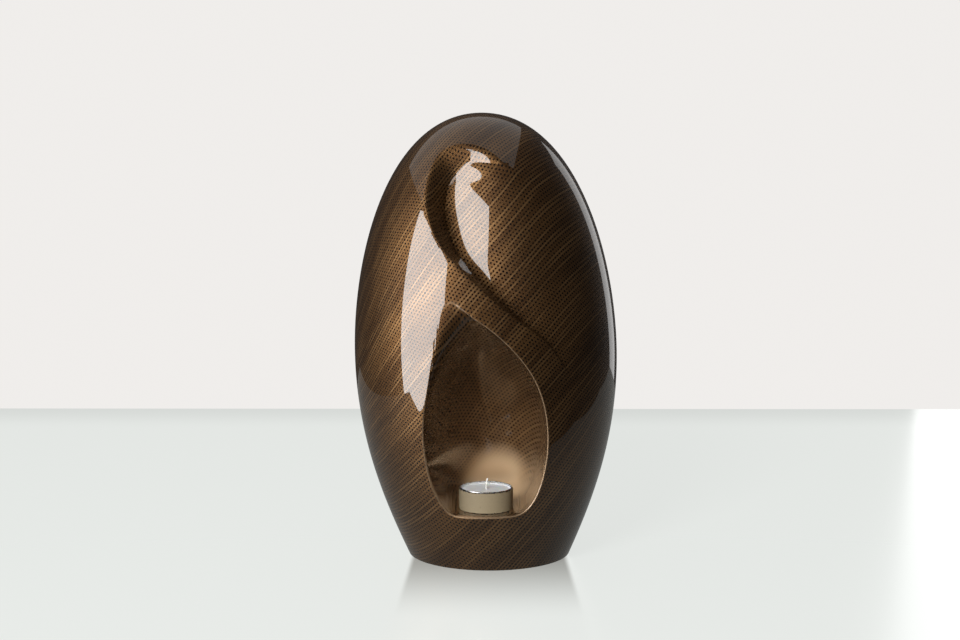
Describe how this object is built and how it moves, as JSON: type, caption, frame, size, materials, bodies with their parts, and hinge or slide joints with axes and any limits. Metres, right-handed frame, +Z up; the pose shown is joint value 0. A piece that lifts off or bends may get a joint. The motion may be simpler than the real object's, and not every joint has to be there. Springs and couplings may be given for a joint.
{
  "type": "cremation urn",
  "caption": "Egg-shaped keepsake urn, hollow and closed from below, with a swirl scoop carved in its front and a teardrop niche that holds a tealight candle.",
  "frame": {"origin": "on the ground, under the middle of the belly", "axes": "+Z up, -Y towards the viewer, out of the front with the scoop and the niche, +X to the viewer's right"},
  "size_m": [0.194, 0.1923, 0.328],
  "materials": {
    "glaze": "golden brown with rows of small dark dots under a high-gloss clear coat",
    "bung_rubber": "matte black",
    "cup_metal": "thin bright foil",
    "sleeve_card": "plain natural card",
    "wax": "smooth white",
    "wick_cotton": "waxed cotton"
  },
  "bodies": {
    "root": {"urn_body": "glaze", "base_stopper": "bung_rubber", "tealight_cup": "cup_metal", "tealight_sleeve": "sleeve_card", "tealight_wax": "wax", "tealight_wick": "wick_cotton"}
  },
  "joints": []
}
